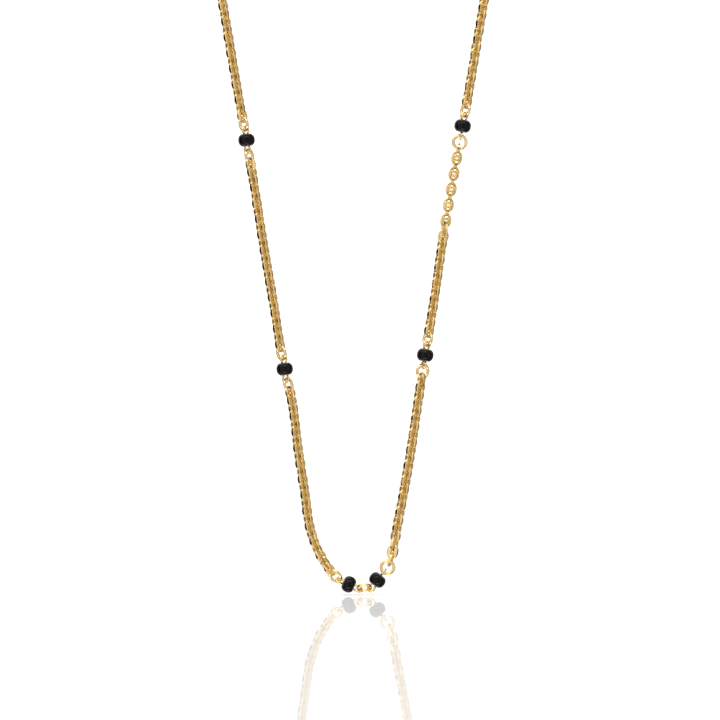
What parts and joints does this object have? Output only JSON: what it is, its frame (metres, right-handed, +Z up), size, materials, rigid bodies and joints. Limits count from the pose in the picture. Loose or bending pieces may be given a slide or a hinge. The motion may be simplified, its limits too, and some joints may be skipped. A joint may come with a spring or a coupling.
{
  "type": "mangalsutra",
  "caption": "Long fine gold cable-link neck chain, set at even intervals with single drilled black glass beads, closed at the nape by a plain barrel clasp.",
  "frame": {"origin": "on the nape of the neck, at the middle of the side of the clasp that lies on the skin", "axes": "+Z up as worn, -Y to the front of the wearer, +X to the right as seen from the front; the lowest place of the loop is in front and about 219 mm below the origin"},
  "size_m": [0.1042, 0.1, 0.2209],
  "materials": {
    "bead_glass": "opaque black glass, fire-polished and glossy",
    "gold": "polished yellow gold wire",
    "gold_chain": "polished yellow gold links with their outer sides turned flat and bright"
  },
  "bodies": {
    "root": {"bead_right_1": "bead_glass", "bead_right_2": "bead_glass", "bead_right_3": "bead_glass", "bead_right_4": "bead_glass", "bead_right_5": "bead_glass", "bead_right_6": "bead_glass", "bead_right_7": "bead_glass", "bead_right_8": "bead_glass", "bead_right_9": "bead_glass", "bead_right_10": "bead_glass", "bead_left_1": "bead_glass", "bead_left_2": "bead_glass", "bead_left_3": "bead_glass", "bead_left_4": "bead_glass", "bead_left_5": "bead_glass", "bead_left_6": "bead_glass", "bead_left_7": "bead_glass", "bead_left_8": "bead_glass", "bead_left_9": "bead_glass", "bead_left_10": "bead_glass", "eye_pin_right_1": "gold", "eye_pin_right_2": "gold", "eye_pin_right_3": "gold", "eye_pin_right_4": "gold", "eye_pin_right_5": "gold", "eye_pin_right_6": "gold", "eye_pin_right_7": "gold", "eye_pin_right_8": "gold", "eye_pin_right_9": "gold", "eye_pin_right_10": "gold", "eye_pin_left_1": "gold", "eye_pin_left_2": "gold", "eye_pin_left_3": "gold", "eye_pin_left_4": "gold", "eye_pin_left_5": "gold", "eye_pin_left_6": "gold", "eye_pin_left_7": "gold", "eye_pin_left_8": "gold", "eye_pin_left_9": "gold", "eye_pin_left_10": "gold", "jump_rings_right": "gold", "jump_rings_left": "gold", "chain_front_right": "gold_chain", "chain_front_left": "gold_chain", "chain_back_right": "gold_chain", "chain_back_left": "gold_chain", "centre_ring": "gold", "clasp": "gold"}
  },
  "joints": []
}
